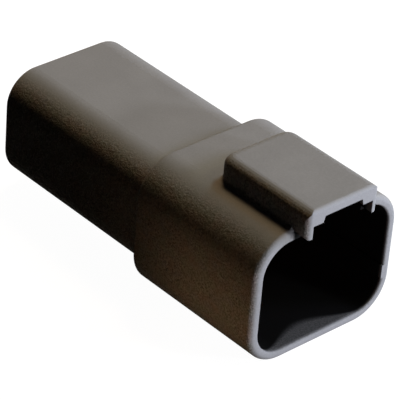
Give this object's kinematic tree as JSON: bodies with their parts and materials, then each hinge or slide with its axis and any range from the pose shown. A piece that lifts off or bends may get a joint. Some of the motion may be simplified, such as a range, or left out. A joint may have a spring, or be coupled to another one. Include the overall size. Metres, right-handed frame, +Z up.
{
  "type": "rectangular sealed connector receptacle",
  "caption": "Moulded rectangular receptacle with a latch hood over its mating shroud, turned pin contacts, a front wedge lock and a rear wire seal.",
  "frame": {"origin": "middle of the overall length and width, at the height of the shroud's underside", "axes": "+X out of the mating opening, +Z up towards the latch hood, +Y to the side with the key rib"},
  "size_m": [0.048, 0.0218, 0.0203],
  "materials": {
    "housing": "fine matt moulded thermoplastic, mid grey",
    "wire_seal": "satin silicone rubber",
    "wedge_lock": "satin moulded thermoplastic",
    "contact": "nickel plated over copper alloy"
  },
  "bodies": {
    "receptacle": {"housing": "housing", "wire_seal": "wire_seal", "contact_1": "contact", "contact_2": "contact", "contact_3": "contact", "contact_4": "contact"},
    "lock": {"wedge_lock": "wedge_lock"}
  },
  "joints": [
    {"name": "wedge_lock_slide", "type": "slide", "parent": "receptacle", "child": "lock", "axis": [1, 0, 0], "range_m": [0, 0.026]}
  ]
}
